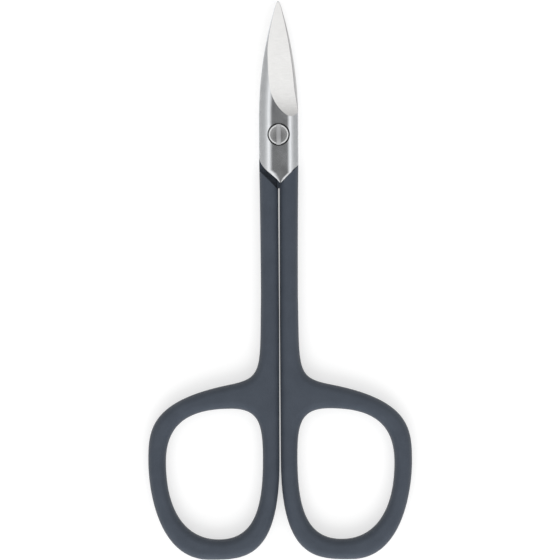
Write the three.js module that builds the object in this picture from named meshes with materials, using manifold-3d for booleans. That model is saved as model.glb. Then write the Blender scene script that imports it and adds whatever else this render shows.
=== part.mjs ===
// Toenail scissors lying closed on a table: two forged steel halves lapped on one slotted pivot
// screw, each with a soft grip moulded over its handle. Millimetres, +Y to the tips, +Z up.
import * as THREE from "three";
import { mergeVertices } from "three/addons/utils/BufferGeometryUtils.js";
import Module from "manifold-3d";

const wasm = await Module();
wasm.setup();

// Overall sizes, measured from the pivot
const tipReach = 24;
const bowReach = 76;
const totalThickness = 4;
const jointWidth = 7;

// Fits and clearances
const rideGap = 0.1;
const boreClearance = 0.06;
const threadClearance = 0.04;
const headClearance = 0.2;
const bondGap = 0.05;
const mouthGap = 0.07;
const plateClearance = 0.95;
const handleSlit = 0.24;
const slitLeast = 0.12;

// Blade: spine arc, ground bevel, cutting edge and hollow inner face
const bladeRootY = 2.8;
const edgeThickness = 0.18;
const edgeInset = 0.5;
const noseLength = 0.6;
const noseHalf = 0.22;
const noseLeast = 0.2;
const bevelSlope = 0.377;
const bevelFullY = 9.8;
const bevelRidgeX = -2.05;
const tipRidgeShare = 0.88;
const spineBlend = 0.15;
const ridgeBlend = 0.5;
const runOutY = 4.8;
const runOutLift = 0.5;
const runOutLength = 1.92;
const hollowDepth = 0.12;
const hollowStartY = 5;
const hollowFullY = 11.8;
const edgeStartY = 3;
const edgeFullY = 9;

// Joint plate: rounded sides and its pointed lower end
const spineRoundWidth = 2.5;
const edgeRoundWidth = 2.1;
const sideRoundSlope = 1;
const pointRoundWidth = 0.6;
const mouthRoundWidth = 0.45;
const pointRoundSlope = 0.45;
const pointRoundShare = 0.3;
const crestMargin = 0.02;
const leastSpanShare = 0.05;
const mostSpanShare = 0.45;
const plateCornerY = -4.2;
const plateMiddleY = -2.5;
const crescentY = 0.8;
const crescentStartY = 1.8;
const platePointY = -8.6;
const platePointX = 0.12;
const plateSweepLow = new THREE.Vector2(-0.5, -7.4);
const plateSweepInset = 0.4;
const plateSweepY = -6.4;

// Grip: slanted mouth line, tongue under the plate, coat and rounding
const mouthReach = 9.05;
const tongueReach = 7.6;
const tongueLap = 0.3;
const tongueTopY = -8.2;
const coatThickness = 0.42;
const gripRoundWidth = 1.4;
const gripRoundShare = 0.4;
const coreRoundWidth = 0.85;
const coreRoundShare = 0.3;
const handleTopY = -3.3;
const handleCornerY = -5.35;
const slitBendY = -12;
const slitLeastY = -33;

// Handle: shank and finger bow
const shankWaistX = 3.32;
const shankWaistY = -29;
const shankWaistPull = 12;
const shankFlare = 0.017;
const bowShoulderX = 9.2;
const bowShoulderY = -44.75;
const bowShoulderSlope = 0.2;
const bowWideX = 23.6;
const bowWideY = -58.4;
const bowLowX = 12.7;
const holeTop = new THREE.Vector2(8.8, -49);
const holeOuter = new THREE.Vector2(20.46, -58.6);
const holeLow = new THREE.Vector2(11, -72.42);
const holeInner = new THREE.Vector2(3.1, -57.9);

// How far each stretch of the bow and of its hole follows the direction it starts and ends in
const bowPull = {
  slit: 18,
  lowInner: 5.9,
  lowOuter: 9.25,
  wideLow: 4.95,
  wideHigh: 5.55,
  shoulderOut: 14.5,
  shoulderIn: 6.4,
  shank: 13.4,
};
const holePull = {
  topOuter: 7.7,
  outerHigh: 6.85,
  outerLow: 9,
  lowOuter: 5.8,
  lowInner: 6.4,
  innerLow: 8.8,
  innerHigh: 6,
  topInner: 5.2,
};

// Pivot screw
const shankDiameter = 2.4;
const headDiameter = 3.7;
const headHeight = 0.8;
const headSink = 0.06;
const headEdge = 0.12;
const headDome = 0.1;
const slotWidth = 0.8;
const slotDepth = 0.45;

// Sizes that follow from those above
const top = totalThickness / 2;
const lap = rideGap / 2;
const jointHalf = jointWidth / 2;
const plateThickness = top - lap;
const slitHalf = handleSlit / 2;
const gripRoundHeight = gripRoundShare * totalThickness;
const coreRoundHeight = coreRoundShare * totalThickness;
const bladeReach = tipReach - bladeRootY;
const noseFall = jointHalf - noseHalf;
const spineRadius = (bladeReach ** 2 + noseFall ** 2) / (2 * noseFall);
const far = Math.max(bowReach, tipReach) / 2;

// Fineness of the curved surfaces
const roundSteps = 40;
const domeSteps = 3;
const outlineSteps = 13;
const gripRoundSteps = 4;
const coreRoundSteps = 2;
const sectionSteps = 5;
const plateEdgeSteps = 9;
const runOutSteps = 11;
const bladeSteps = 9;
const noseParts = [0.5, 0.8, 1];
const weldDistance = 1e-4;

const steel = new THREE.MeshStandardMaterial({ color: 0xb8bbbf, roughness: 0.22, metalness: 1 });
const screwSteel = new THREE.MeshStandardMaterial({ color: 0x9c9fa3, roughness: 0.3, metalness: 1 });
const softGrip = new THREE.MeshStandardMaterial({ color: 0x4b515b, roughness: 0.75, metalness: 0 });

// A closed three.js geometry as a solid for cutting and joining.
function solid(geometry) {
  const bare = geometry.clone();
  bare.deleteAttribute("normal");
  bare.deleteAttribute("uv");
  const welded = mergeVertices(bare, weldDistance);
  return new wasm.Manifold(
    new wasm.Mesh({
      numProp: 3,
      vertProperties: welded.attributes.position.array,
      triVerts: new Uint32Array(welded.index.array),
    }),
  );
}

// A finished solid as a three.js geometry.
function geometryOf(shape) {
  const mesh = shape.getMesh();
  const geometry = new THREE.BufferGeometry();
  geometry.setAttribute("position", new THREE.BufferAttribute(mesh.vertProperties, 3));
  geometry.setIndex(new THREE.BufferAttribute(mesh.triVerts, 1));
  return geometry;
}

// Skins a row of closed sections of the same number of points, the last but one under the middle.
function loft(sections) {
  const count = sections[0].length;
  const points = sections.flat();
  const faces = [];
  for (let s = 0; s + 1 < sections.length; s++) {
    for (let i = 0; i < count; i++) {
      const a = s * count + i;
      const b = s * count + ((i + 1) % count);
      faces.push(a, b, a + count, b, b + count, a + count);
    }
  }
  const cap = (s, flip) => {
    const first = s * count;
    const middle = first + count - 2;
    for (let i = 0; i + 1 < count; i++) {
      const a = first + ((count - 1 + i) % count);
      const b = first + ((count + i) % count);
      if (a !== middle && b !== middle) faces.push(middle, flip ? b : a, flip ? a : b);
    }
  };
  cap(0, true);
  cap(sections.length - 1, false);
  const geometry = new THREE.BufferGeometry().setFromPoints(points);
  geometry.setIndex(faces);
  return geometry;
}

// The lower left edge of the joint plate, swept in from the side to the slit between the handles.
const plateEdge = new THREE.CubicBezierCurve(
  new THREE.Vector2(platePointX, platePointY),
  plateSweepLow,
  new THREE.Vector2(plateSweepInset - jointHalf, plateSweepY),
  new THREE.Vector2(-jointHalf, plateCornerY),
);

// How far below the pivot the slanted recess line passes, clear of the other half's plate.
const plateReaches = plateEdge.getPoints(plateEdgeSteps).map((p) => -p.x - p.y);
const recessReach = Math.max(...plateReaches) + plateClearance * Math.SQRT2;

// Half the width of the closed blades at a height above the pivot, rounded off at the nose.
function bladeHalf(y) {
  const rise = Math.max(0, y - bladeRootY);
  const arc = jointHalf - spineRadius + Math.sqrt(spineRadius ** 2 - rise ** 2);
  const nose = Math.max(0, (y - (tipReach - noseLength)) / noseLength);
  return arc * Math.max(noseLeast, Math.sqrt(Math.max(0, 1 - nose ** 2)));
}

// Right edge of the blade and plate: the cutting edge above, the line of the grip's mouth below.
function rightEdge(y) {
  const inset = edgeInset * THREE.MathUtils.smoothstep(y, edgeStartY, edgeFullY);
  return Math.min(bladeHalf(y) * (1 - inset / jointHalf), y + mouthReach - mouthGap * Math.SQRT2);
}

// Height of the ground bevel over the inner face, lifting off the steel towards the plate.
function groundHeight(x, y) {
  const lift = runOutLift * Math.exp((runOutY - y) / runOutLength);
  return edgeThickness + bevelSlope * (rightEdge(y) - x) + lift;
}

// The larger of two values, with a rounded change from one to the other.
function softMax(a, b, blend) {
  return (a + b + Math.hypot(a - b, blend)) / 2;
}

// Where the bevel's ridge lies: along the spine, then out across the plate's flat.
function ridgeAt(y) {
  const spine = softMax(bevelRidgeX, -tipRidgeShare * bladeHalf(y), spineBlend);
  const crescent = (groundHeight(0, y) - plateThickness) / bevelSlope;
  return softMax(spine, crescent, ridgeBlend);
}

// Fall of a rounded edge at a distance in from that edge.
function roundFall(distance, width, slope) {
  return slope * Math.max(0, width - Math.max(0, distance)) ** 2 / (2 * width);
}

// One cross-section of the blade and plate, from its left edge over the top and back underneath.
function plateSection(y, left) {
  const half = bladeHalf(y);
  const right = rightEdge(y);
  const ridge = ridgeAt(y);
  const width = right - left;
  const spineFall = (x) => roundFall(x + half, spineRoundWidth, sideRoundSlope);
  const edgeFall = (x) => (y < bevelFullY ? roundFall(half - x, edgeRoundWidth, sideRoundSlope) : 0);
  const crown = y < crescentStartY ? plateThickness : groundHeight(ridge, y) + spineFall(ridge);
  const pointRound = Math.min(pointRoundWidth, pointRoundShare * width);
  const mouthRound = Math.min(mouthRoundWidth, pointRoundShare * width);
  const pointFall = (x) =>
    roundFall((x - left) * Math.SQRT1_2, pointRound, pointRoundSlope) +
    roundFall((right - x) * Math.SQRT1_2, mouthRound, pointRoundSlope);
  const heightAt = (x) => {
    const bar = crown - spineFall(x) - edgeFall(x);
    const point = y < plateCornerY ? crown - pointFall(x) : crown;
    return lap + Math.max(edgeThickness, Math.min(bar, groundHeight(x, y), point));
  };
  const margin = crestMargin * width / 2;
  const rightSpan = Math.min(edgeRoundWidth, mostSpanShare * width);
  const rightStart = right - rightSpan;
  const mostLeft = Math.min(spineRoundWidth, mostSpanShare * width);
  const leftSpan = THREE.MathUtils.clamp(ridge - left - margin, leastSpanShare * width, mostLeft);
  const crest = THREE.MathUtils.clamp(ridge, left + leftSpan + margin, rightStart - margin);
  const across = [];
  for (let k = 0; k <= sectionSteps; k++) across.push(left + leftSpan * k / sectionSteps);
  across.push(crest);
  for (let k = 0; k <= sectionSteps; k++) across.push(rightStart + rightSpan * k / sectionSteps);
  const hollow = hollowDepth * THREE.MathUtils.smoothstep(y, hollowStartY, hollowFullY);
  const section = across.map((x) => new THREE.Vector3(x, y, heightAt(x)));
  section.push(new THREE.Vector3(right, y, lap));
  section.push(new THREE.Vector3((left + right) / 2, y, lap + hollow * (half / jointHalf)));
  section.push(new THREE.Vector3(left, y, lap));
  return section;
}

// The blade and joint plate of one half, from the plate's point up to the tip.
function bladeAndPlate() {
  const sections = plateEdge.getPoints(plateEdgeSteps).map((p) => plateSection(p.y, p.x));
  const bladeTop = tipReach - noseLength;
  const stations = [plateMiddleY, crescentY];
  for (let i = 0; i <= runOutSteps; i++) {
    stations.push(THREE.MathUtils.lerp(crescentStartY, bevelFullY, i / runOutSteps));
  }
  for (let i = 1; i <= bladeSteps; i++) {
    stations.push(THREE.MathUtils.lerp(bevelFullY, bladeTop, i / bladeSteps));
  }
  stations.push(...noseParts.map((part) => bladeTop + part * noseLength));
  for (const y of stations) sections.push(plateSection(y, -bladeHalf(y)));
  return solid(loft(sections));
}

// Outline of the right handle: the slit, narrowest half way down, bow, shoulder and waisted shank.
function handleShape() {
  const wide = new THREE.Vector2(bowWideX, bowWideY);
  const low = new THREE.Vector2(bowLowX, -bowReach);
  const shoulder = new THREE.Vector2(bowShoulderX, bowShoulderY);
  const shoulderRun = new THREE.Vector2(1, -bowShoulderSlope).normalize();
  const waist = new THREE.Vector2(shankWaistX, shankWaistY);
  const up = new THREE.Vector2(0, 1);
  const out = new THREE.Vector2(1, 0);
  const shankRun = new THREE.Vector2(shankFlare, -1);
  const from = (point, direction, length) => point.clone().addScaledVector(direction, length);
  const curve = (path, first, second, end) =>
    path.bezierCurveTo(first.x, first.y, second.x, second.y, end.x, end.y);
  const slitEnd = new THREE.Vector2(slitHalf, bowWideY);
  const shape = new THREE.Shape();
  shape.moveTo(slitHalf, handleTopY);
  shape.lineTo(slitHalf, slitBendY);
  shape.lineTo(slitLeast / 2, slitLeastY);
  shape.lineTo(slitEnd.x, slitEnd.y);
  curve(shape, from(slitEnd, up, -bowPull.slit), from(low, out, -bowPull.lowInner), low);
  curve(shape, from(low, out, bowPull.lowOuter), from(wide, up, -bowPull.wideLow), wide);
  const outward = from(shoulder, shoulderRun, bowPull.shoulderOut);
  curve(shape, from(wide, up, bowPull.wideHigh), outward, shoulder);
  const inward = from(shoulder, shoulderRun, -bowPull.shoulderIn);
  curve(shape, inward, from(waist, shankRun, bowPull.shank), waist);
  shape.quadraticCurveTo(waist.x, waist.y + shankWaistPull, jointHalf, handleCornerY);
  shape.lineTo(jointHalf, handleTopY);
  const hole = new THREE.Path();
  hole.moveTo(holeTop.x, holeTop.y);
  curve(hole, from(holeTop, out, holePull.topOuter), from(holeOuter, up, holePull.outerHigh), holeOuter);
  curve(hole, from(holeOuter, up, -holePull.outerLow), from(holeLow, out, holePull.lowOuter), holeLow);
  curve(hole, from(holeLow, out, -holePull.lowInner), from(holeInner, up, -holePull.innerLow), holeInner);
  curve(hole, from(holeInner, up, holePull.innerHigh), from(holeTop, out, -holePull.topInner), holeTop);
  shape.holes.push(hole);
  return shape;
}

// The handle as a rounded bar, drawn in from the outline by an inset on every side.
function handleBar(inset, roundWidth, roundHeight, steps) {
  const depth = totalThickness - 2 * inset - 2 * roundHeight;
  const geometry = new THREE.ExtrudeGeometry(handleShape(), {
    depth,
    bevelEnabled: true,
    bevelSize: roundWidth,
    bevelThickness: roundHeight,
    bevelOffset: -roundWidth - inset,
    bevelSegments: steps,
    curveSegments: outlineSteps,
  });
  geometry.translate(0, 0, -depth / 2);
  return solid(geometry);
}

// A block on one side of a slanted line across the joint, +1 to the tips, between two levels.
function jointBlock(reach, side, from, to) {
  const geometry = new THREE.BoxGeometry(2 * far, 2 * far, to - from);
  geometry.translate(0, side * far, (from + to) / 2);
  geometry.rotateZ(Math.PI / 4);
  geometry.translate(0, -reach, 0);
  return solid(geometry);
}

// The room behind the joint for the other half's plate.
function lapRecess(grow, ceiling) {
  return jointBlock(recessReach + grow * Math.SQRT2, 1, -2 * top, ceiling);
}

// A round bar standing on Z.
function standingBar(diameter, from, to) {
  const geometry = new THREE.CylinderGeometry(diameter / 2, diameter / 2, to - from, roundSteps);
  geometry.rotateX(Math.PI / 2);
  geometry.translate(0, 0, (from + to) / 2);
  return solid(geometry);
}

// One forged half: blade, plate and the handle core that the grip is moulded over.
function forging() {
  const inset = coatThickness + bondGap;
  const rabbet = jointBlock(tongueReach - mouthGap * Math.SQRT2, -1, -2 * top, lap + inset);
  const core = handleBar(inset, coreRoundWidth, coreRoundHeight, coreRoundSteps);
  return bladeAndPlate().subtract(rabbet).add(core.subtract(lapRecess(inset, lap + inset)));
}

function frontHalf() {
  const bore = standingBar(shankDiameter + 2 * boreClearance, -top, 2 * top);
  const seat = top - headSink - headHeight - boreClearance;
  const counterbore = standingBar(headDiameter + 2 * headClearance, seat, 2 * top);
  return forging().subtract(bore.add(counterbore));
}

function rearHalf() {
  return forging().subtract(standingBar(shankDiameter + 2 * threadClearance, -2 * top, 2 * top));
}

// The end of the grip's tongue, which closes the top of the slit behind the plate's point.
function tongueEnd() {
  const right = slitHalf + coatThickness;
  const low = tongueLap + mouthGap * Math.SQRT2 - recessReach;
  const geometry = new THREE.BoxGeometry(right + tongueLap, tongueTopY - low, coatThickness);
  geometry.translate((right - tongueLap) / 2, (tongueTopY + low) / 2, lap + coatThickness / 2);
  return solid(geometry);
}

// The soft coat over one handle: a mouth in front of the core and a tongue under the plate.
function grip() {
  const tongueTop = lap + coatThickness;
  const pocket = handleBar(coatThickness, coreRoundWidth, coreRoundHeight, coreRoundSteps);
  const lined = pocket.subtract(lapRecess(coatThickness, tongueTop));
  const mouth = jointBlock(mouthReach, 1, tongueTop, 2 * top);
  const tongueLimit = jointBlock(tongueReach, 1, 0, 2 * top);
  const body = handleBar(0, gripRoundWidth, gripRoundHeight, gripRoundSteps);
  const open = body.subtract(lined).subtract(mouth).subtract(tongueLimit);
  return open.subtract(lapRecess(0, lap)).add(tongueEnd());
}

function pivotScrew() {
  const headTop = top - headSink;
  const underHead = headTop - headHeight;
  const tail = -top + headSink;
  const shank = shankDiameter / 2;
  const head = headDiameter / 2;
  const outline = [
    new THREE.Vector2(0, tail),
    new THREE.Vector2(shank - headEdge, tail),
    new THREE.Vector2(shank, tail + headEdge),
    new THREE.Vector2(shank, underHead),
    new THREE.Vector2(head, underHead),
    new THREE.Vector2(head, headTop - headDome - headEdge),
  ];
  for (let k = domeSteps; k >= 0; k--) {
    const share = k / domeSteps;
    outline.push(new THREE.Vector2(share * (head - headEdge), headTop - headDome * share ** 2));
  }
  const turned = new THREE.LatheGeometry(outline, roundSteps);
  turned.rotateX(Math.PI / 2);
  const slot = new THREE.BoxGeometry(slotWidth, 2 * headDiameter, 2 * slotDepth);
  slot.translate(0, 0, headTop);
  return solid(turned).subtract(solid(slot));
}

function node(name, shape, material) {
  const mesh = new THREE.Mesh(geometryOf(shape), material);
  mesh.name = name;
  return mesh;
}

const frontAssembly = new THREE.Group();
frontAssembly.add(node("front_half", frontHalf(), steel));
frontAssembly.add(node("front_grip", grip(), softGrip));

const rearAssembly = new THREE.Group();
rearAssembly.add(node("rear_half", rearHalf(), steel));
rearAssembly.add(node("rear_grip", grip(), softGrip));
rearAssembly.rotation.y = Math.PI;

const pivot = new THREE.Group();
pivot.add(frontAssembly);
pivot.add(rearAssembly);
pivot.add(node("pivot_screw", pivotScrew(), screwSteel));
pivot.position.set(0, (bowReach - tipReach) / 2, top);

const group = new THREE.Group();
group.add(pivot);

export default group;
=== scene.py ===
"""Toenail scissors: two forged steel halves on a slotted pivot screw, each with a soft grip.

Every shape is drawn in millimetres round the pivot, +Y to the tips and +Z to the front, and is
then set into the part's frame in metres. The rear half is the front one turned over.
"""

from __future__ import annotations

import logging
import math
from dataclasses import dataclass
from enum import Enum
from functools import cached_property
from typing import Optional, Sequence, Union

import bmesh
import bpy
import numpy as np
from mathutils import Euler, Matrix, Vector

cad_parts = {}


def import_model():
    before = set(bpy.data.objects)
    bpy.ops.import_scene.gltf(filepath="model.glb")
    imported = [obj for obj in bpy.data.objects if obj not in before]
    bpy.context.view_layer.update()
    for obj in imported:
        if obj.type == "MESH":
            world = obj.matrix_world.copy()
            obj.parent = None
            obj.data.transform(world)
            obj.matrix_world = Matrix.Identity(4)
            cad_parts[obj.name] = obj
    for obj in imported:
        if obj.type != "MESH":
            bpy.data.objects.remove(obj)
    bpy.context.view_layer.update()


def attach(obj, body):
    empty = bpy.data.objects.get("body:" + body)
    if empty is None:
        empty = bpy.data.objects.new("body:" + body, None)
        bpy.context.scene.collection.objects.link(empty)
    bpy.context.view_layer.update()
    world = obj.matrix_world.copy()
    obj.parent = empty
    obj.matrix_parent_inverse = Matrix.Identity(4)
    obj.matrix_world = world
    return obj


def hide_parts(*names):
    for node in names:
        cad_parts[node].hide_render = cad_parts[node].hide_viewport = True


LOG = logging.getLogger("scissors")
MILLIMETRE = 0.001
PIVOT = Vector((0.0, 26.0, 2.0))
DIAGONAL = math.sqrt(2.0)
RIGHT_ANGLE = 90.0
WHITE = (1.0, 1.0, 1.0, 1.0)

Point = tuple[float, float]
Triple = tuple[float, float, float]
Socket = bpy.types.NodeSocket
Mesh = bpy.types.Mesh
Material = bpy.types.Material
Piece = bpy.types.Object
Value = Union[float, int, Sequence[float], Socket]


class Side(Enum):
    """The two halves, named as the bodies they move with."""

    FRONT = "front"
    REAR = "rear"

    def placement(self) -> Matrix:
        """Matrix from the drawing round the pivot to the part's frame."""
        turned = Matrix.Rotation(math.pi if self is Side.REAR else 0.0, 4, "Y")
        return Matrix.Scale(MILLIMETRE, 4) @ Matrix.Translation(PIVOT) @ turned


class Joining(Enum):
    """How one solid meets another."""

    CUT = "DIFFERENCE"
    WELD = "UNION"


class FinishSlot(Enum):
    """Material slots of the part's record."""

    STEEL = "steel"
    SCREW = "screw_steel"
    GRIP = "soft_grip"


class NodeBench:
    """Adds nodes to one tree and wires them."""

    def __init__(self, tree: bpy.types.NodeTree) -> None:
        """Keeps the tree that the nodes go into."""
        self.tree = tree

    def plug(self, socket: Socket, value: Value) -> None:
        """Links a socket to another one, or sets its number.

        Args:
            socket: The input to fill.
            value: An output to link, or the value to set.
        """
        if isinstance(value, bpy.types.NodeSocket):
            self.tree.links.new(value, socket)
        else:
            socket.default_value = value

    def add(self, kind: str, inputs: Optional[dict] = None, **settings: object) -> bpy.types.Node:
        """Adds a node.

        Args:
            kind: Blender's type name of the node.
            inputs: Values or outputs by input name or number.
            settings: Properties of the node itself.

        Returns:
            The new node.
        """
        node = self.tree.nodes.new(kind)
        for name, setting in settings.items():
            setattr(node, name, setting)
        for key, value in (inputs or {}).items():
            self.plug(node.inputs[key], value)
        return node

    def math(self, operation: str, *values: Value) -> Socket:
        """Adds a Math node over the values and returns its result."""
        inputs = dict(enumerate(values))
        return self.add("ShaderNodeMath", inputs, operation=operation).outputs[0]

    def vector(self, operation: str, *values: Value) -> Socket:
        """Adds a Vector Math node over the values and returns its vector."""
        inputs = dict(enumerate(values))
        return self.add("ShaderNodeVectorMath", inputs, operation=operation).outputs["Vector"]

    def mean(self, first: Socket, second: Socket) -> Socket:
        """Adds the mean of two outputs and returns it."""
        return self.math("MULTIPLY", self.math("ADD", first, second), 0.5)

    def noise(self, place: Socket, scale: float, detail: float, roughness: float = 0.5) -> Socket:
        """Adds a noise of so many marks per unit of the place, and returns its height."""
        inputs = {"Vector": place, "Scale": scale, "Detail": detail, "Roughness": roughness}
        return self.add("ShaderNodeTexNoise", inputs).outputs["Fac"]

    def spread(self, share: Socket, span: Point, ends: Point) -> Socket:
        """Carries a value from one span to another and returns the result."""
        return self.add("ShaderNodeMapRange", dict(enumerate((share, *span, *ends)))).outputs["Result"]

    def tones(self, share: Socket, span: Point, colours: Sequence[Triple]) -> Socket:
        """Blends two colours by a value.

        Args:
            share: The value.
            span: Values at which the first and the second colour are reached.
            colours: The two colours.

        Returns:
            The blended colour.
        """
        ramp = self.add("ShaderNodeValToRGB", {"Fac": share})
        for stop, position, colour in zip(ramp.color_ramp.elements, span, colours):
            stop.position = position
            stop.color = (*colour, 1.0)
        return ramp.outputs["Color"]

    def bump(self, height: Socket, strength: float, distance: float) -> Socket:
        """Adds a bump of a height in metres and returns its normal."""
        inputs = {"Height": height, "Strength": strength, "Distance": distance}
        return self.add("ShaderNodeBump", inputs).outputs["Normal"]


class Workshop:
    """Makes plain meshes, cuts and welds them, and sets them into the part's frame."""

    round_steps: int = 144

    @staticmethod
    def outward(mesh: Mesh) -> Mesh:
        """Turns every face of a closed mesh outwards.

        Args:
            mesh: The mesh to change.

        Returns:
            The same mesh.
        """
        work = bmesh.new()
        work.from_mesh(mesh)
        bmesh.ops.recalc_face_normals(work, faces=work.faces)
        work.to_mesh(mesh)
        work.free()
        return mesh

    @classmethod
    def loft(cls, name: str, rings: Sequence[np.ndarray], finish: Material) -> Mesh:
        """Skins a row of closed rings and caps both ends.

        Args:
            name: Name of the mesh.
            rings: Point rows of equal length, in order.
            finish: Material of the skin.

        Returns:
            A closed mesh.
        """
        count = len(rings[0])
        faces = []
        for row in range(len(rings) - 1):
            for i in range(count):
                a, b = row * count + i, row * count + (i + 1) % count
                faces.append((a, b, b + count, a + count))
        faces.append(tuple(range(count)))
        faces.append(tuple(range((len(rings) - 1) * count, len(rings) * count)))
        mesh = bpy.data.meshes.new(name)
        mesh.from_pydata(np.concatenate(rings).tolist(), [], faces)
        mesh.materials.append(finish)
        return cls.outward(mesh)

    @classmethod
    def slab(cls, name: str, corners: Sequence[Sequence[float]], levels: Point, finish: Material) -> Mesh:
        """Raises a flat outline between two levels and returns the closed mesh."""
        rings = [np.c_[corners, np.full(len(corners), level)] for level in levels]
        return cls.loft(name, rings, finish)

    @classmethod
    def turned(cls, name: str, profile: Sequence[Point], finish: Material) -> Mesh:
        """Turns a profile of radius and height about the pivot.

        Args:
            name: Name of the mesh.
            profile: Radius and height of each step, from one end to the other.
            finish: Material of the skin.

        Returns:
            A closed mesh.
        """
        steps = np.linspace(0.0, 2 * math.pi, cls.round_steps, endpoint=False)
        rings = [
            np.stack([r * np.cos(steps), r * np.sin(steps), np.full_like(steps, z)], axis=1)
            for r, z in profile
        ]
        return cls.loft(name, rings, finish)

    @staticmethod
    def evaluated(piece: Piece, name: str) -> Mesh:
        """Makes a plain mesh of an object with its modifiers, and removes the object.

        Args:
            piece: The object.
            name: Name of the mesh.

        Returns:
            The plain mesh.
        """
        graph = bpy.context.evaluated_depsgraph_get()
        mesh = bpy.data.meshes.new_from_object(piece.evaluated_get(graph), depsgraph=graph)
        mesh.name = name
        bpy.data.objects.remove(piece)
        return mesh

    @classmethod
    def join(cls, body: Mesh, tool: Mesh, how: Joining) -> Mesh:
        """Cuts one mesh with another, or welds the two.

        Args:
            body: The mesh that is kept.
            tool: The mesh that cuts it or is added to it.
            how: The joining to make.

        Returns:
            A new mesh with the materials of both.
        """
        pieces = [bpy.data.objects.new(mesh.name, mesh) for mesh in (body, tool)]
        for piece in pieces:
            bpy.context.scene.collection.objects.link(piece)
        modifier = pieces[0].modifiers.new("join", "BOOLEAN")
        modifier.operation = how.value
        modifier.solver = "MANIFOLD"
        modifier.material_mode = "TRANSFER"
        modifier.object = pieces[1]
        made = cls.evaluated(pieces[0], body.name)
        bpy.data.objects.remove(pieces[1])
        return made

    @staticmethod
    def smooth(mesh: Mesh, sharp_degrees: float) -> None:
        """Shades a mesh smooth, but for edges sharper than an angle."""
        mesh.shade_smooth()
        mesh.set_sharp_from_angle(angle=math.radians(sharp_degrees))

    @staticmethod
    def set_down(mesh: Mesh, name: str, sides: tuple[Side, Side], node: str, slot: FinishSlot) -> Piece:
        """Makes a piece of a mesh, in place of a node of the frame.

        Args:
            mesh: The mesh, in millimetres round the pivot.
            name: Name of the piece.
            sides: The half whose placement it takes, and the half that it moves with.
            node: The node that it stands for.
            slot: The material slot of the part's record; not used.

        Returns:
            The piece.
        """
        placed, carrier = sides
        mesh.transform(placed.placement())
        mesh.name = name
        piece = bpy.data.objects.new(name, mesh)
        bpy.context.scene.collection.objects.link(piece)
        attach(piece, carrier.value)
        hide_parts(node)
        return piece


@dataclass(frozen=True)
class Finish:
    """A finish, whose material is made once.

    Attributes:
        name: Name of the material.
    """

    name: str

    @cached_property
    def material(self) -> Material:
        """The material, made when it is first asked for.

        Returns:
            The made material.
        """
        made = bpy.data.materials.new(self.name)
        made.use_nodes = True
        bench = NodeBench(made.node_tree)
        place = bench.add("ShaderNodeTexCoord").outputs["Object"]
        self.wire(bench, made.node_tree.nodes["Principled BSDF"].inputs, place)
        return made

    def wire(self, bench: NodeBench, shader: bpy.types.NodeInputs, place: Socket) -> None:
        """Wires the finish into its shader; each kind of finish has its own way."""
        raise NotImplementedError


@dataclass(frozen=True)
class SteelFinish(Finish):
    """A metal finish with fine working lines.

    Attributes:
        tone: Base colour.
        roughness: Least and most roughness.
        grain: Lines per metre along X, Y and Z.
        line_depth: Height of the lines in metres.
    """

    tone: Triple
    roughness: Point
    grain: Triple
    line_depth: float
    line_detail: float = 2.0
    line_strength: float = 0.5
    patches_per_metre: float = 420.0
    patch_detail: float = 3.0
    patch_span: Point = (0.3, 0.7)
    streak_span: Point = (0.35, 0.65)
    dark_share: float = 0.9

    def wire(self, bench: NodeBench, shader: bpy.types.NodeInputs, place: Socket) -> None:
        """Wires metal with streaks, duller patches and working lines.

        Args:
            bench: Where the nodes are added.
            shader: Inputs of the shader.
            place: Object coordinates.
        """
        lines = self.lines(bench, place)
        patches = bench.noise(place, self.patches_per_metre, self.patch_detail)
        dark = tuple(self.dark_share * tone for tone in self.tone)
        streaks = bench.tones(bench.mean(patches, lines), self.streak_span, (dark, self.tone))
        shader["Metallic"].default_value = 1.0
        bench.plug(shader["Base Color"], streaks)
        bench.plug(shader["Roughness"], bench.spread(patches, self.patch_span, self.roughness))
        bench.plug(shader["Normal"], bench.bump(lines, self.line_strength, self.line_depth))

    def lines(self, bench: NodeBench, place: Socket) -> Socket:
        """Height of the straight working lines."""
        return bench.noise(bench.vector("MULTIPLY", place, self.grain), 1.0, self.line_detail)


@dataclass(frozen=True)
class TurnedFinish(SteelFinish):
    """Steel faced in a lathe, with rings round the pivot."""

    def lines(self, bench: NodeBench, place: Socket) -> Socket:
        """Height of the rings, by distance from the pivot.

        Args:
            bench: Where the nodes are added.
            place: Object coordinates.

        Returns:
            The height output.
        """
        centred = bench.vector("SUBTRACT", place, PIVOT * MILLIMETRE)
        flat = bench.vector("MULTIPLY", centred, (1.0, 1.0, 0.0))
        radius = bench.add("ShaderNodeVectorMath", {0: flat}, operation="LENGTH").outputs["Value"]
        inputs = {"W": radius, "Scale": self.grain[0], "Detail": self.line_detail}
        return bench.add("ShaderNodeTexNoise", inputs, noise_dimensions="1D").outputs["Fac"]


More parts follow.
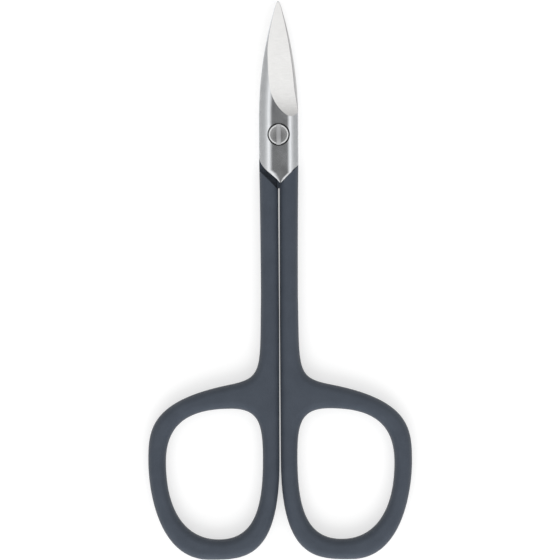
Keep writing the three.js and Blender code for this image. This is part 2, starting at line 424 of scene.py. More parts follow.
@dataclass(frozen=True)
class CoatFinish(Finish):
    """Matt soft-touch coat with a very fine grain; spans are the noise at the ends of a range."""

    name: str = "soft_touch_coat"
    dark: Triple = (0.038, 0.0485, 0.066)
    light: Triple = (0.0465, 0.058, 0.0775)
    mottle_span: Point = (0.4, 0.6)
    roughness: Point = (0.56, 0.68)
    grain_span: Point = (0.3, 0.7)
    clouds_per_metre: float = 260.0
    cloud_detail: float = 4.0
    grain_per_metre: float = 6000.0
    grain_detail: float = 3.0
    grain_roughness: float = 0.6
    grain_height: float = 0.00012
    grain_strength: float = 0.5
    sheen: float = 0.06
    sheen_roughness: float = 0.5
    specular: float = 0.4

    def wire(self, bench: NodeBench, shader: bpy.types.NodeInputs, place: Socket) -> None:
        """Wires the matt coat with its mottle and grain.

        Args:
            bench: Where the nodes are added.
            shader: Inputs of the shader.
            place: Object coordinates.
        """
        clouds = bench.noise(place, self.clouds_per_metre, self.cloud_detail)
        grain = bench.noise(place, self.grain_per_metre, self.grain_detail, self.grain_roughness)
        mottle = bench.tones(bench.mean(clouds, grain), self.mottle_span, (self.dark, self.light))
        shader["Sheen Weight"].default_value = self.sheen
        shader["Sheen Roughness"].default_value = self.sheen_roughness
        shader["Specular IOR Level"].default_value = self.specular
        bench.plug(shader["Base Color"], mottle)
        bench.plug(shader["Roughness"], bench.spread(grain, self.grain_span, self.roughness))
        bench.plug(shader["Normal"], bench.bump(grain, self.grain_strength, self.grain_height))


@dataclass(frozen=True)
class FinishRack:
    """The finishes of the scissors, and the painted shade of the pivot bore."""

    polished: SteelFinish = SteelFinish(
        "polished_steel", (0.735, 0.75, 0.77), (0.15, 0.21), (16000.0, 700.0, 9000.0), 0.000007
    )
    ground: SteelFinish = SteelFinish(
        "ground_bevel_steel", (0.88, 0.875, 0.865), (0.2, 0.27), (900.0, 15000.0, 900.0), 0.00001
    )
    faced: TurnedFinish = TurnedFinish(
        "faced_screw_steel", (0.75, 0.755, 0.76), (0.17, 0.22), (14000.0, 0.0, 0.0), 0.000003
    )
    lapped: SteelFinish = SteelFinish(
        "lapped_inner_steel", (0.8, 0.8, 0.795), (0.46, 0.54), (15000.0, 1200.0, 1200.0), 0.00001
    )
    sawn: SteelFinish = SteelFinish(
        "sawn_slot_steel", (0.65, 0.655, 0.665), (0.4, 0.48), (15000.0, 900.0, 900.0), 0.000003
    )
    # Near-black tone of the pivot bore and its broken edge: painted shade in the gap round the screw
    # head.
    bore_with_painted_shade: SteelFinish = SteelFinish(
        "bore_with_painted_shade_steel", (0.2, 0.2, 0.205), (0.4, 0.5), (9000.0, 9000.0, 15000.0), 0.000003
    )
    coat: CoatFinish = CoatFinish()


class Curves:
    """Points along the curves that the outlines are drawn with."""

    @staticmethod
    def bezier(controls: Sequence[Sequence[float]], steps: int) -> np.ndarray:
        """Points along a curve of two ends and any number of control points.

        Args:
            controls: First end, control points and last end.
            steps: Number of points, both ends counted.

        Returns:
            The points, one row each.
        """
        along = np.linspace(0.0, 1.0, steps)[:, None, None]
        row = np.asarray(controls, dtype=float)[None]
        while row.shape[1] > 1:
            row = row[:, :-1] * (1 - along) + row[:, 1:] * along
        return row[:, 0]

    @staticmethod
    def fall(distance: np.ndarray, width: float, slope: float) -> np.ndarray:
        """Fall, at distances in from an edge, of a rounding of a width and a slope at the edge."""
        return slope * np.maximum(0.0, width - np.maximum(distance, 0.0)) ** 2 / (2.0 * width)

    @staticmethod
    def soft_max(first: float, second: float, blend: float) -> float:
        """The larger of two values, with a rounded change from one to the other."""
        return (first + second + math.hypot(first - second, blend)) / 2

    @staticmethod
    def ease(value: float, start: float, end: float) -> float:
        """Smooth step from 0 at start to 1 at end."""
        share = min(1.0, max(0.0, (value - start) / (end - start)))
        return share * share * (3.0 - 2.0 * share)


@dataclass(frozen=True)
class Fits:
    """Sizes that several pieces are cut to; lap is half the gap that the halves ride on."""

    thickness: float = 4.0
    joint_half: float = 3.5
    lap: float = 0.05
    mouth_gap: float = 0.07
    coat: float = 0.42
    bond_gap: float = 0.05
    core_round: Point = (0.85, 1.2)

    @property
    def top(self) -> float:
        """Height of the front face above the pivot's middle."""
        return self.thickness / 2


@dataclass
class BladeForging:
    """Blade and joint plate of one half: a rounded bar, swept to a point, with a ground bevel."""

    fits: Fits
    tip_reach: float = 24.0
    root_y: float = 2.8
    edge_thickness: float = 0.18
    edge_inset: float = 0.5
    edge_rows: Point = (3.0, 9.0)
    nose_length: float = 0.6
    nose_half: float = 0.22
    nose_least_share: float = 0.2
    bevel_slope: float = 0.377
    bevel_full_y: float = 9.8
    crescent_y: float = 1.8
    ridge_x: float = -2.05
    ridge_share: float = 0.88
    ridge_blends: Point = (0.15, 0.5)
    run_out_y: float = 4.8
    run_out_lift: float = 0.5
    run_out_length: float = 1.92
    hollow_depth: float = 0.12
    hollow_rows: Point = (5.0, 11.8)
    spine_round: Point = (2.5, 1.0)
    edge_round: Point = (2.1, 1.0)
    point_rounds: Point = (0.95, 0.45)
    point_slope: float = 0.45
    point_share: float = 0.3
    corner_y: float = -4.2
    point: Point = (0.12, -8.6)
    sweep_low: Point = (-0.5, -7.4)
    sweep_high: Point = (-3.1, -6.4)
    mouth_reach: float = 9.05
    top_columns: int = 72
    inner_columns: int = 16
    point_rows: int = 60
    plate_rows: int = 32
    blade_rows: int = 120
    nose_rows: int = 14

    def half_width(self, y: float) -> float:
        """Half the width of the closed blades.

        Args:
            y: Height above the pivot.

        Returns:
            The half width at that height.
        """
        fall = self.fits.joint_half - self.nose_half
        reach = self.tip_reach - self.root_y
        radius = (reach**2 + fall**2) / (2 * fall)
        rise = max(0.0, y - self.root_y)
        nose = max(0.0, (y - self.tip_reach + self.nose_length) / self.nose_length)
        arc = self.fits.joint_half - radius + math.sqrt(radius**2 - rise**2)
        return arc * max(self.nose_least_share, math.sqrt(max(0.0, 1.0 - nose**2)))

    def right_edge(self, y: float) -> float:
        """Right edge: the cutting edge above, the line of the grip's mouth below.

        Args:
            y: Height above the pivot.

        Returns:
            Where the edge lies at that height.
        """
        inset = self.edge_inset * Curves.ease(y, *self.edge_rows)
        cutting = self.half_width(y) * (1.0 - inset / self.fits.joint_half)
        return min(cutting, y + self.mouth_reach - self.fits.mouth_gap * DIAGONAL)

    def ground(self, x: Union[float, np.ndarray], y: float) -> Union[float, np.ndarray]:
        """Height of the ground bevel, which lifts off the steel towards the plate."""
        lift = self.run_out_lift * math.exp((self.run_out_y - y) / self.run_out_length)
        return self.edge_thickness + self.bevel_slope * (self.right_edge(y) - x) + lift

    @property
    def plate_thickness(self) -> float:
        """Thickness of the joint plate."""
        return self.fits.top - self.fits.lap

    def ridge(self, y: float) -> float:
        """Where the bevel's ridge lies: along the spine, then out across the plate's flat.

        Args:
            y: Height above the pivot.

        Returns:
            Place of the ridge at that height.
        """
        first, second = self.ridge_blends
        spine = Curves.soft_max(self.ridge_x, -self.ridge_share * self.half_width(y), first)
        crescent = (self.ground(0.0, y) - self.plate_thickness) / self.bevel_slope
        return Curves.soft_max(spine, crescent, second)

    def crown(self, y: float) -> float:
        """Height of the bar before it is rounded at its sides and ground.

        Args:
            y: Height above the pivot.

        Returns:
            The height of the crown.
        """
        if y < self.crescent_y:
            return self.plate_thickness
        ridge = self.ridge(y)
        return self.ground(ridge, y) + Curves.fall(ridge + self.half_width(y), *self.spine_round)

    def section(self, y: float, left: float) -> np.ndarray:
        """One ring of the rounded bar, over the top and back along the inner face.

        Args:
            y: Height above the pivot.
            left: Left edge at that height.

        Returns:
            The points of the ring.
        """
        half, right, lap = self.half_width(y), self.right_edge(y), self.fits.lap
        turn = np.linspace(0.0, math.pi, self.top_columns)
        across = left + (right - left) * (1 - np.cos(turn)) / 2
        fall = Curves.fall(across + half, *self.spine_round)
        if y < self.bevel_full_y:
            fall = fall + Curves.fall(half - across, *self.edge_round)
        if y < self.corner_y:
            widths = [min(width, self.point_share * (right - left)) for width in self.point_rounds]
            edges = ((across - left) / DIAGONAL, (right - across) / DIAGONAL)
            rounds = [Curves.fall(edge, width, self.point_slope) for edge, width in zip(edges, widths)]
            fall = np.maximum(fall, sum(rounds))
        inner = np.linspace(right, left, self.inner_columns)
        bow = 1 - ((inner - (left + right) / 2) / ((right - left) / 2)) ** 2
        hollow = self.hollow_depth * Curves.ease(y, *self.hollow_rows) * half / self.fits.joint_half * bow
        over = np.stack([across, np.full_like(across, y), lap + self.crown(y) - fall], axis=1)
        under = np.stack([inner, np.full_like(inner, y), lap + hollow], axis=1)
        return np.concatenate([over, under])

    def bar(self, finish: Material) -> Mesh:
        """The rounded bar before grinding, from the plate's point to the tip.

        Args:
            finish: Material of the bar.

        Returns:
            A closed mesh.
        """
        corner = (-self.fits.joint_half, self.corner_y)
        edge = Curves.bezier((self.point, self.sweep_low, self.sweep_high, corner), self.point_rows)
        rings = [self.section(y, x) for x, y in edge]
        nose = self.tip_reach - self.nose_length
        turn = np.linspace(0.0, math.pi / 2, self.nose_rows)
        heights = [
            np.linspace(self.corner_y, self.root_y, self.plate_rows)[1:],
            np.linspace(self.root_y, nose, self.blade_rows)[1:],
            nose + self.nose_length * np.sin(turn)[1:],
        ]
        rings += [self.section(y, -self.half_width(y)) for y in np.concatenate(heights)]
        return Workshop.loft("blade_bar", rings, finish)


@dataclass
class GrindingWheel:
    """What the grinding wheel takes off a blade: a block whose underside is the ground bevel."""

    blade: BladeForging
    rows: int = 200
    columns: int = 26
    margin: float = 0.05
    side_margin: float = 0.15
    lead: float = 0.6
    ridge_limit: float = 2.0
    overrun: float = 0.3
    top: float = 6.0

    def block(self, finish: Material) -> Mesh:
        """Builds the block.

        Args:
            finish: Material of the ground face.

        Returns:
            A closed mesh.
        """
        blade, fits = self.blade, self.blade.fits
        rings = []
        for y in np.linspace(blade.crescent_y, blade.tip_reach + self.overrun, self.rows):
            at = min(y, blade.tip_reach)
            ridge = min(blade.ridge(at), self.ridge_limit)
            start = max(-blade.half_width(at) - self.margin, ridge - self.lead)
            end = fits.joint_half + self.side_margin
            if at > blade.bevel_full_y:
                end = blade.right_edge(at) + self.margin
            across = np.linspace(start, end, self.columns)
            row = np.full_like(across, y)
            low = np.stack([across, row, fits.lap + blade.ground(across, at)], axis=1)
            high = np.stack([across[[-1, 0]], row[:2], np.full(2, self.top)], axis=1)
            rings.append(np.concatenate([low, high]))
        return Workshop.loft("grinding_wheel", rings, finish)


@dataclass(frozen=True)
class Turn:
    """A place that an outline passes, with the pulls on the curve before and after it."""

    place: Point
    before: Point = (0.0, 0.0)
    after: Point = (0.0, 0.0)

    def to(self, other: Turn, steps: int) -> np.ndarray:
        """Points along the curve from here to another place, both ends counted."""
        start, end = np.array(self.place), np.array(other.place)
        return Curves.bezier((start, start + self.after, end + other.before, end), steps)


@dataclass
class HandleOutline:
    """Flat outline of one handle: slit, bow with its finger hole, shoulder and waisted shank."""

    fits: Fits
    slit_half: float = 0.12
    slit_bend_y: float = -12.0
    slit_least: Point = (0.06, -33.0)
    slit_pull: float = 18.0
    end_y: float = -4.2
    corner_y: float = -5.35
    waist: Turn = Turn((3.32, -29.0), (0.2278, -13.4), (0.0, 12.0))
    shoulder: Point = (9.2, -44.75)
    shoulder_slope: float = 0.2
    shoulder_pulls: Point = (14.5, 6.4)
    wide: Turn = Turn((23.6, -58.4), (0.0, -4.95), (0.0, 5.55))
    low: Turn = Turn((12.7, -76.0), (-5.9, 0.0), (9.25, 0.0))
    hole_turns: tuple[Turn, ...] = (
        Turn((8.8, -49.0), (-5.2, 0.0), (7.7, 0.0)),
        Turn((20.46, -58.6), (0.0, 6.85), (0.0, -9.0)),
        Turn((11.0, -72.42), (5.8, 0.0), (-6.4, 0.0)),
        Turn((3.1, -57.9), (0.0, -8.8), (0.0, 6.0)),
    )
    slit_steps: tuple[int, int, int] = (12, 30, 30)
    bow_steps: int = 60
    waist_steps: int = 40
    corner_steps: int = 3
    end_steps: int = 24
    hole_steps: int = 50

    def rounded_end(self) -> np.ndarray:
        """Half round over the top of the shank, which the joint hides.

        Returns:
            The points from the right side to the left.
        """
        radius = (self.fits.joint_half - self.slit_half) / 2
        turn = np.linspace(0.0, math.pi, self.end_steps)
        middle = self.slit_half + radius
        return np.stack([middle + radius * np.cos(turn), self.end_y + radius * np.sin(turn)], axis=1)

    def outer(self) -> np.ndarray:
        """Points of the outside, counter-clockwise.

        Returns:
            The points, one row each.
        """
        half, joint_half = self.slit_half, self.fits.joint_half
        run = np.array([1.0, -self.shoulder_slope]) / math.hypot(1.0, self.shoulder_slope)
        before, after = self.shoulder_pulls
        shoulder = Turn(self.shoulder, tuple(before * run), tuple(-after * run))
        slit_end = Turn((half, self.wide.place[1]), after=(0.0, -self.slit_pull))
        turns = (slit_end, self.low, self.wide, shoulder, self.waist)
        bend, corner = (half, self.slit_bend_y), (joint_half, self.corner_y)
        waist_pull = np.array(self.waist.place) + self.waist.after
        first, second, third = self.slit_steps
        stretches = [
            Curves.bezier(((half, self.end_y), bend), first),
            Curves.bezier((bend, self.slit_least), second),
            Curves.bezier((self.slit_least, slit_end.place), third),
            *(start.to(end, self.bow_steps) for start, end in zip(turns, turns[1:])),
            Curves.bezier((self.waist.place, waist_pull, corner), self.waist_steps),
            Curves.bezier((corner, (joint_half, self.end_y)), self.corner_steps),
            self.rounded_end(),
        ]
        return np.concatenate([stretch[:-1] for stretch in stretches])

    def hole(self) -> np.ndarray:
        """Points of the finger hole, clockwise, one row each."""
        pairs = zip(self.hole_turns, self.hole_turns[1:] + self.hole_turns[:1])
        return np.concatenate([start.to(end, self.hole_steps)[:-1] for start, end in pairs])

    def curve(self) -> bpy.types.Curve:
        """The outline as a curve of two closed runs.

        Returns:
            The curve.
        """
        made = bpy.data.curves.new("handle_outline", "CURVE")
        made.dimensions = "3D"
        for points in (self.outer(), self.hole()):
            count = len(points)
            run = made.splines.new("POLY")
            run.points.add(count - 1)
            run.points.foreach_set("co", np.c_[points, np.zeros(count), np.ones(count)].ravel())
            run.use_cyclic_u = True
        return made


@dataclass
class RoundedBar:
    """Geometry Nodes tree that carries a rounded rim along an outline and fills it between."""

    outline: HandleOutline
    steps: int = 14
    weld_distance: float = 0.0005
    sizes: tuple[str, ...] = ("Inset", "Round width", "Round height", "Thickness")

    def __post_init__(self) -> None:
        """Builds the tree once."""
        self.tree = self.build()

    def build(self) -> bpy.types.NodeTree:
        """Builds the tree.

        Returns:
            The tree, with its sizes as named inputs.
        """
        tree = bpy.data.node_groups.new("rounded_bar", "GeometryNodeTree")
        inputs = [("Outline", "NodeSocketGeometry")]
        inputs += [(name, "NodeSocketFloat") for name in self.sizes]
        inputs += [("Steps", "NodeSocketInt"), ("Finish", "NodeSocketMaterial")]
        for name, kind in inputs:
            tree.interface.new_socket(name, in_out="INPUT", socket_type=kind)
        tree.interface.new_socket("Bar", in_out="OUTPUT", socket_type="NodeSocketGeometry")
        bench = NodeBench(tree)
        given = bench.add("NodeGroupInput").outputs
        upright = bench.add("GeometryNodeSetCurveNormal", {"Curve": given["Outline"]}, mode="Z_UP")
        outline = upright.outputs["Curve"]
        carried = {"Curve": outline, "Profile Curve": self.rim_profile(bench, given)}
        joined = bench.add("GeometryNodeJoinGeometry")
        bench.plug(joined.inputs[0], bench.add("GeometryNodeCurveToMesh", carried).outputs["Mesh"])
        reach = bench.math("ADD", given["Inset"], given["Round width"])
        normal = bench.add("GeometryNodeInputNormal").outputs["Normal"]
        step = {0: normal, "Scale": bench.math("MULTIPLY", reach, -1.0)}
        inward = bench.add("ShaderNodeVectorMath", step, operation="SCALE").outputs["Vector"]
        drawn_in = bench.add("GeometryNodeSetPosition", {"Geometry": outline, "Offset": inward})
        edge = {"Curve": drawn_in.outputs["Geometry"]}
        land = bench.add("GeometryNodeFillCurve", edge, mode="TRIANGLES").outputs["Mesh"]
        level = self.land_level(bench, given)
        for sign in (1.0, -1.0):
            height = bench.add("ShaderNodeCombineXYZ", {"Z": bench.math("MULTIPLY", level, sign)})
            place = {"Geometry": land, "Translation": height.outputs[0]}
            bench.plug(joined.inputs[0], bench.add("GeometryNodeTransform", place).outputs["Geometry"])
        seams = {"Geometry": joined.outputs[0], "Distance": self.weld_distance}
        closed = bench.add("GeometryNodeMergeByDistance", seams).outputs["Geometry"]
        real = bench.add("GeometryNodeRealizeInstances", {"Geometry": closed}).outputs["Geometry"]
        dressing = {"Geometry": real, "Material": given["Finish"]}
        dressed = bench.add("GeometryNodeSetMaterial", dressing).outputs["Geometry"]
        bench.add("NodeGroupOutput", {"Bar": dressed})
        return tree

    def land_level(self, bench: NodeBench, given: bpy.types.NodeOutputs) -> Socket:
        """Height of the flat land above the middle of the bar."""
        return bench.math("SUBTRACT", bench.math("MULTIPLY", given["Thickness"], 0.5), given["Inset"])

    def rim_profile(self, bench: NodeBench, given: bpy.types.NodeOutputs) -> Socket:
        """Profile of the rim: a quarter round, a straight wall and a second quarter round.

        Args:
            bench: Where the nodes are added.
            given: The tree's inputs.

        Returns:
            The profile curve.
        """
        steps = given["Steps"]
        index = bench.add("GeometryNodeInputIndex").outputs["Index"]
        upper = bench.math("GREATER_THAN", index, bench.math("SUBTRACT", steps, 0.5))
        place = bench.math("SUBTRACT", index, bench.math("MULTIPLY", upper, steps))
        share = bench.math("DIVIDE", place, bench.math("SUBTRACT", steps, 1.0))
        quarter = bench.math("SUBTRACT", bench.math("ADD", share, upper), 1.0)
        turn = bench.math("MULTIPLY", quarter, math.pi / 2)
        recess = bench.math("SUBTRACT", 1.0, bench.math("COSINE", turn))
        inward = bench.math("ADD", given["Inset"], bench.math("MULTIPLY", given["Round width"], recess))
        wall = bench.math("SUBTRACT", self.land_level(bench, given), given["Round height"])
        side = bench.math("SUBTRACT", bench.math("MULTIPLY", upper, 2.0), 1.0)
        rise = bench.math("MULTIPLY", given["Round height"], bench.math("SINE", turn))
        height = bench.math("ADD", bench.math("MULTIPLY", side, wall), rise)
        spot = bench.add("ShaderNodeCombineXYZ", {"X": bench.math("MULTIPLY", inward, -1.0), "Y": height})
        count = bench.math("MULTIPLY", steps, 2.0)
        row = bench.add("GeometryNodeMeshLine", {"Count": count, "Offset": (0.0, 1.0, 0.0)})
        strip = bench.add("GeometryNodeMeshToCurve", {"Mesh": row.outputs["Mesh"]})
        move = {"Geometry": strip.outputs["Curve"], "Position": spot.outputs["Vector"]}
        return bench.add("GeometryNodeSetPosition", move).outputs["Geometry"]

    def mesh(self, name: str, inset: float, edge_round: Point, finish: Material) -> Mesh:
        """Runs the tree on the outline.

        Args:
            name: Name of the mesh.
            inset: How far the bar is drawn in on every side.
            edge_round: Width and height of its rounded edges.
            finish: Material of the bar.

        Returns:
            A closed mesh.
        """
        piece = bpy.data.objects.new(name, self.outline.curve())
        bpy.context.scene.collection.objects.link(piece)
        modifier = piece.modifiers.new("rounded_bar", "NODES")
        modifier.node_group = self.tree
        values = dict(zip(self.sizes, (inset, *edge_round, self.outline.fits.thickness)))
        values.update({"Steps": self.steps, "Finish": finish})
        for item in self.tree.interface.items_tree:
            if item.in_out == "INPUT" and item.name in values:
                modifier[item.identifier] = values[item.name]
        return Workshop.outward(Workshop.evaluated(piece, name))


@dataclass
class JointCuts:
    """The slanted cuts that let the halves pass, all parallel to the grip's mouth."""

    fits: Fits
    recess_reach: float = 9.98
    tongue_reach: float = 7.6
    tongue_lap: float = 0.3
    tongue_top_y: float = -8.2
    far: float = 40.0

    def block(self, reach: float, levels: Point, finish: Material, to_tips: bool = True) -> Mesh:
        """A block on one side of a slanted line across the joint.

        Args:
            reach: How far below the pivot the line passes.
            levels: Lowest and highest level of the block.
            finish: Material of the cut.
            to_tips: Whether the block lies on the side of the tips.

        Returns:
            The block.
        """
        along, away = self.far * np.array([(1.0, 1.0), (-1.0, 1.0)]) / DIAGONAL
        side = 2 * (away if to_tips else -away)
        base = np.array((0.0, -reach))
        corners = [base - along, base + along, base + along + side, base - along + side]
        return Workshop.slab("joint_block", corners, levels, finish)

    def recess(self, grow: float, ceiling: float, finish: Material) -> Mesh:
        """The room behind the joint for the other half's plate, grown by a clearance, up to a ceiling."""
        return self.block(self.recess_reach + grow * DIAGONAL, (-self.fits.thickness, ceiling), finish)

    def tongue_end(self, right: float, levels: Point, finish: Material) -> Mesh:
        """The end of the grip's tongue, which closes the top of the slit.

        Args:
            right: How far it reaches into the grip.
            levels: Its lowest and highest level.
            finish: Material of the tongue.

        Returns:
            A flat block.
        """
        low = self.tongue_lap + self.fits.mouth_gap * DIAGONAL - self.recess_reach
        left, top = -self.tongue_lap, self.tongue_top_y
        corners = [(left, low), (right, low), (right, top), (left, top)]
        return Workshop.slab("tongue_end", corners, levels, finish)


@dataclass
class PivotScrew:
    """The slotted pivot screw: faced head with a rounded rim, plain shank and staked tail."""

    fits: Fits
    rack: FinishRack
    shank_radius: float = 1.2
    head_radius: float = 1.85
    head_height: float = 0.8
    head_sink: float = 0.06
    dome: float = 0.1
    rim_round: Point = (0.34, 0.12)
    rim_wall: float = 0.08
    rim_edge: float = 0.04
    face_rows: int = 40
    centre_radius: float = 0.02
    tail_edge: float = 0.12
    tail_fall: float = 0.03
    tail_flat_share: float = 0.6
    slot_width: float = 0.8
    slot_depth: float = 0.47
    saw_radius: float = 11.0
    saw_steps: int = 720
    sharp_degrees: float = 25.0

    @property
    def head_top(self) -> float:
        """Height of the head's highest point."""
        return self.fits.top - self.head_sink

    @property
    def under_head(self) -> float:
        """Height of the head's underside."""
        return self.head_top - self.head_height

    def blank(self) -> Mesh:
        """The turned blank before its slot is sawn.

        Returns:
            A closed mesh.
        """
        shank, head, tail = self.shank_radius, self.head_radius, -self.head_top
        width, height = self.rim_round
        profile = [
            (self.centre_radius, tail),
            (self.tail_flat_share * shank, tail),
            (shank - self.tail_edge, tail + self.tail_fall),
            (shank, tail + self.tail_edge),
            (shank, self.under_head),
            (head, self.under_head),
            (head, self.head_top - self.dome - height - self.rim_wall),
        ]
        for radius in np.linspace(head - self.rim_edge, self.centre_radius, self.face_rows):
            beyond = max(0.0, radius - (head - width)) / width
            fall = self.dome * (radius / head) ** 2 + height * beyond**2
            profile.append((radius, self.head_top - fall))
        return Workshop.turned("screw_blank", profile, self.rack.faced.material)

    def saw(self) -> Mesh:
        """The disc that saws the slot, which leaves its floor slightly dished.

        Returns:
            A closed mesh.
        """
        turn = np.linspace(0.0, 2 * math.pi, self.saw_steps, endpoint=False)
        centre = self.head_top - self.slot_depth + self.saw_radius
        y, z = self.saw_radius * np.sin(turn), centre - self.saw_radius * np.cos(turn)
        half = self.slot_width / 2
        rings = [np.stack([np.full_like(turn, x), y, z], axis=1) for x in (-half, half)]
        return Workshop.loft("slot_saw", rings, self.rack.sawn.material)

    def build(self) -> Piece:
        """Builds the screw and gives it to the rear half, which it is threaded into.

        Returns:
            The finished piece.
        """
        mesh = Workshop.join(self.blank(), self.saw(), Joining.CUT)
        Workshop.smooth(mesh, self.sharp_degrees)
        sides = (Side.FRONT, Side.REAR)
        return Workshop.set_down(mesh, "pivot_screw_turned", sides, "pivot_screw", FinishSlot.SCREW)


@dataclass
class ForgedHalf:
    """The forged halves: blade, joint plate and the handle core inside the grip."""

    blade: BladeForging
    cuts: JointCuts
    bar: RoundedBar
    screw: PivotScrew
    rack: FinishRack
    weld_lap: float = 0.01
    lapped_facing: float = 0.95
    bore_clearance: float = 0.06
    thread_clearance: float = 0.04
    head_clearance: float = 0.15
    broken_edge: float = 0.07
    edge_overrun: float = 0.21
    sharp_degrees: float = 11.0

    def forging(self) -> Mesh:
        """The half before its pivot hole is bored.

        Returns:
            A closed mesh.
        """
        steel, fits = self.rack.polished.material, self.blade.fits
        inset = fits.coat + fits.bond_gap
        ledge = fits.lap + inset
        core = self.bar.mesh("handle_core", inset, fits.core_round, steel)
        core = Workshop.join(core, self.cuts.recess(inset, ledge + self.weld_lap, steel), Joining.CUT)
        wheel = GrindingWheel(self.blade).block(self.rack.ground.material)
        blade = Workshop.join(self.blade.bar(steel), wheel, Joining.CUT)
        start = self.cuts.tongue_reach - fits.mouth_gap * DIAGONAL
        rabbet = self.cuts.block(start, (-fits.thickness, ledge), steel, to_tips=False)
        blade = Workshop.join(blade, rabbet, Joining.CUT)
        return self.lapped(Workshop.join(blade, core, Joining.WELD))

    def lapped(self, mesh: Mesh) -> Mesh:
        """Gives the inner faces, on which the halves ride, their own finish.

        Args:
            mesh: The half to change.

        Returns:
            The same mesh.
        """
        mesh.materials.append(self.rack.lapped.material)
        for face in mesh.polygons:
            inside = face.center.z < 2 * self.blade.hollow_depth
            if inside and face.normal.z < -self.lapped_facing:
                face.material_index = len(mesh.materials) - 1
        return mesh

    def bore_with_painted_shade(self, forging: Mesh, side: Side) -> Mesh:
        """Bores the pivot hole of one half, with a broken edge at its mouth; the bore's faces are
        near-black, painted shade.

        Args:
            forging: The half before boring.
            side: Which half it is; the front one takes the screw's head.

        Returns:
            The half with its pivot hole cut.
        """
        top, edge, overrun = self.blade.fits.top, self.broken_edge, self.edge_overrun
        mouth = self.screw.shank_radius + self.thread_clearance
        profile = [(mouth, -top)]
        if side is Side.FRONT:
            bore = self.screw.shank_radius + self.bore_clearance
            mouth = self.screw.head_radius + self.head_clearance
            seat = self.screw.under_head - self.bore_clearance
            profile = [(bore, -top), (bore, seat), (mouth, seat)]
        profile += [(mouth, top - edge), (mouth + edge, top), (mouth + edge + overrun, top + overrun)]
        # The drill's faces take the near-black painted shade of the bore.
        drill = Workshop.turned("pivot_bore", profile, self.rack.bore_with_painted_shade.material)
        return Workshop.join(forging, drill, Joining.CUT)

    def dress(self, mesh: Mesh, side: Side) -> Piece:
        """Shades a half with its pivot hole cut and gives it to its body.

        Args:
            mesh: The half with its pivot hole cut.
            side: Which half it is.

        Returns:
            The finished piece.
        """
        Workshop.smooth(mesh, self.sharp_degrees)
        name, node = f"{side.value}_half_steel", f"{side.value}_half"
        return Workshop.set_down(mesh, name, (side, side), node, FinishSlot.STEEL)

    def build(self) -> list[Piece]:
        """Builds both halves and returns them."""
        forging = self.forging()
        return [self.dress(self.bore_with_painted_shade(forging.copy(), side), side) for side in Side]


@dataclass
class SoftGrip:
    """The soft coats over the handles, open at the mouth and behind the other half's plate."""

    blade: BladeForging
    cuts: JointCuts
    bar: RoundedBar
    rack: FinishRack
    outer_round: Point = (1.4, 1.6)
    tongue_step: float = 0.005
    sharp_degrees: float = 32.0

    def coat_mesh(self) -> Mesh:
        """The coat with its pocket, mouth, recess and tongue.

        Returns:
            A closed mesh.
        """
        coat, cuts, fits = self.rack.coat.material, self.cuts, self.blade.fits
        clear, tongue_top = fits.thickness, fits.lap + fits.coat
        pocket = self.bar.mesh("core_pocket", fits.coat, fits.core_round, coat)
        pocket = Workshop.join(pocket, cuts.recess(fits.coat, tongue_top, coat), Joining.CUT)
        body = self.bar.mesh("grip_body", 0.0, self.outer_round, coat)
        tools = (
            pocket,
            cuts.block(self.blade.mouth_reach, (tongue_top, clear), coat),
            cuts.block(cuts.tongue_reach, (0.0, clear), coat),
            cuts.recess(0.0, fits.lap, coat),
        )
        for tool in tools:
            body = Workshop.join(body, tool, Joining.CUT)
        levels = (fits.lap + self.tongue_step, tongue_top - self.tongue_step)
        end = cuts.tongue_end(self.bar.outline.slit_half + fits.coat, levels, coat)
        return Workshop.join(body, end, Joining.WELD)

    def build(self) -> list[Piece]:
        """Builds both grips.

        Returns:
            The finished pieces.
        """
        mesh = self.coat_mesh()
        Workshop.smooth(mesh, self.sharp_degrees)
        pieces = []
        for side in Side:
            name, node = f"{side.value}_grip_coat", f"{side.value}_grip"
            pieces.append(Workshop.set_down(mesh.copy(), name, (side, side), node, FinishSlot.GRIP))
        return pieces


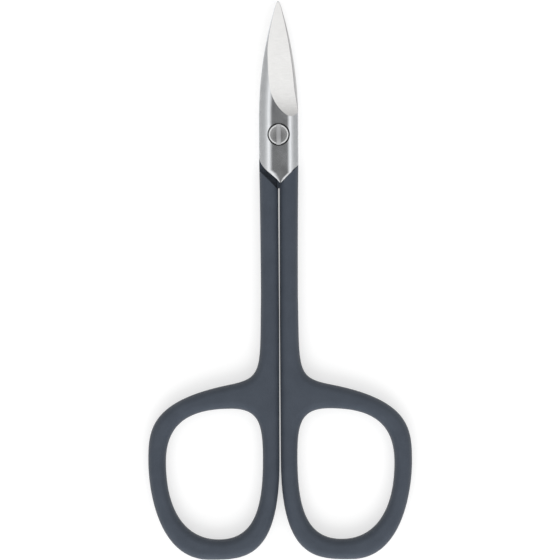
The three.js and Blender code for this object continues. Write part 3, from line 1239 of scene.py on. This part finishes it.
@dataclass
class Studio:
    """Pale table, soft light all round and a camera straight above."""

    floor_half: float = 1.5
    floor_level: float = -0.00003
    floor_tone: float = 0.86
    glow_strength: float = 1.4
    glow_share: float = 0.38
    sensor_width: float = 36.0
    camera_height: float = 0.6
    camera_reach: float = 10.0
    camera_offset: Point = (0.00012, 0.0)
    camera_roll_degrees: float = -0.27
    view_width: float = 0.10027
    key_power: float = 4.8
    key_size: float = 0.8
    key_place: Triple = (0.0, -0.62, 0.34)
    sky_stops: tuple[Point, ...] = (
        (0.0, 0.15), (8.0, 0.22), (16.0, 0.5), (26.0, 1.0), (34.0, 1.18),
        (40.0, 1.18), (45.0, 0.92), (53.0, 0.76), (64.0, 0.57), (90.0, 0.52),
    )

    def camera(self) -> None:
        """Sets the camera straight above the table, tips up."""
        lens = bpy.data.cameras.new("camera")
        lens.sensor_width = self.sensor_width
        lens.lens = self.sensor_width * self.camera_height / self.view_width
        lens.clip_end = self.camera_reach
        camera = bpy.data.objects.new("camera", lens)
        camera.location = (*self.camera_offset, self.camera_height + PIVOT.z * MILLIMETRE)
        camera.rotation_euler = Euler((0.0, 0.0, math.radians(self.camera_roll_degrees)))
        bpy.context.scene.collection.objects.link(camera)
        bpy.context.scene.camera = camera

    def floor_finish(self) -> Material:
        """The table's finish, white to the eye but for the soft shadow on it.

        Returns:
            The material.
        """
        finish = bpy.data.materials.new("pale_table")
        finish.use_nodes = True
        finish.node_tree.nodes.clear()
        bench = NodeBench(finish.node_tree)
        tone = self.floor_tone
        matt = bench.add("ShaderNodeBsdfDiffuse", {"Color": (tone, tone, tone, 1.0)})
        glow = bench.add("ShaderNodeEmission", {"Color": WHITE, "Strength": self.glow_strength})
        path = bench.add("ShaderNodeLightPath").outputs
        seen = bench.math("MAXIMUM", path["Is Camera Ray"], path["Is Glossy Ray"])
        seen = bench.math("MAXIMUM", seen, path["Is Transmission Ray"])
        share = bench.math("MULTIPLY", seen, self.glow_share)
        mixed = bench.add("ShaderNodeMixShader", {0: share, 1: matt.outputs[0], 2: glow.outputs[0]})
        bench.add("ShaderNodeOutputMaterial", {"Surface": mixed.outputs[0]})
        return finish

    def floor(self) -> None:
        """Lays the pale table."""
        half, level = self.floor_half, self.floor_level
        mesh = bpy.data.meshes.new("table")
        corners = [(-half, -half, level), (half, -half, level), (half, half, level), (-half, half, level)]
        mesh.from_pydata(corners, [], [(0, 1, 2, 3)])
        mesh.materials.append(self.floor_finish())
        floor = bpy.data.objects.new("table", mesh)
        bpy.context.scene.collection.objects.link(floor)

    def sky(self) -> None:
        """Soft light: dark straight above, a bright ring round it, grey walls to the sides."""
        world = bpy.data.worlds.new("studio")
        bpy.context.scene.world = world
        world.use_nodes = True
        world.node_tree.nodes.clear()
        bench = NodeBench(world.node_tree)
        towards = bench.add("ShaderNodeTexCoord").outputs["Generated"]
        way = bench.add("ShaderNodeSeparateXYZ", {0: towards}).outputs
        lean = bench.math("DIVIDE", bench.math("ARCCOSINE", way["Z"]), math.pi / 2)
        ramp = bench.add("ShaderNodeValToRGB", {"Fac": lean})
        stops = ramp.color_ramp.elements
        while len(stops) < len(self.sky_stops):
            stops.new(0.5)
        for stop, (degrees, level) in zip(stops, self.sky_stops):
            stop.position = degrees / RIGHT_ANGLE
            stop.color = (level, level, level, 1.0)
        soft = bench.add("ShaderNodeBackground", {"Color": ramp.outputs["Color"], "Strength": 1.0})
        white = bench.add("ShaderNodeBackground", {"Color": WHITE, "Strength": 1.0})
        seen = bench.add("ShaderNodeLightPath").outputs["Is Camera Ray"]
        mixed = bench.add("ShaderNodeMixShader", {0: seen, 1: soft.outputs[0], 2: white.outputs[0]})
        bench.add("ShaderNodeOutputWorld", {"Surface": mixed.outputs[0]})

    def key(self) -> None:
        """Hangs one large soft lamp towards the bows, which the polished steel doesn't mirror."""
        lamp = bpy.data.lights.new("key", "AREA")
        lamp.size = self.key_size
        lamp.energy = self.key_power
        light = bpy.data.objects.new("key", lamp)
        light.visible_glossy = False
        light.location = self.key_place
        light.rotation_euler = (-light.location).to_track_quat("-Z", "Y").to_euler()
        bpy.context.scene.collection.objects.link(light)

    def build(self) -> None:
        """Sets up the whole studio."""
        bpy.context.scene.view_settings.view_transform = "Standard"
        for step in (self.camera, self.floor, self.sky, self.key):
            step()


def main() -> None:
    """Builds the scissors and the studio."""
    logging.basicConfig(level=logging.INFO, format="%(name)s: %(message)s")
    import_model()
    fits, rack = Fits(), FinishRack()
    blade, cuts = BladeForging(fits), JointCuts(fits)
    bar = RoundedBar(HandleOutline(fits))
    screw = PivotScrew(fits, rack)
    pieces = ForgedHalf(blade, cuts, bar, screw, rack).build()
    pieces += SoftGrip(blade, cuts, bar, rack).build()
    pieces.append(screw.build())
    for piece in pieces:
        LOG.info("%s: %d faces", piece.name, len(piece.data.polygons))
    Studio().build()


if __name__ == "__main__":
    main()
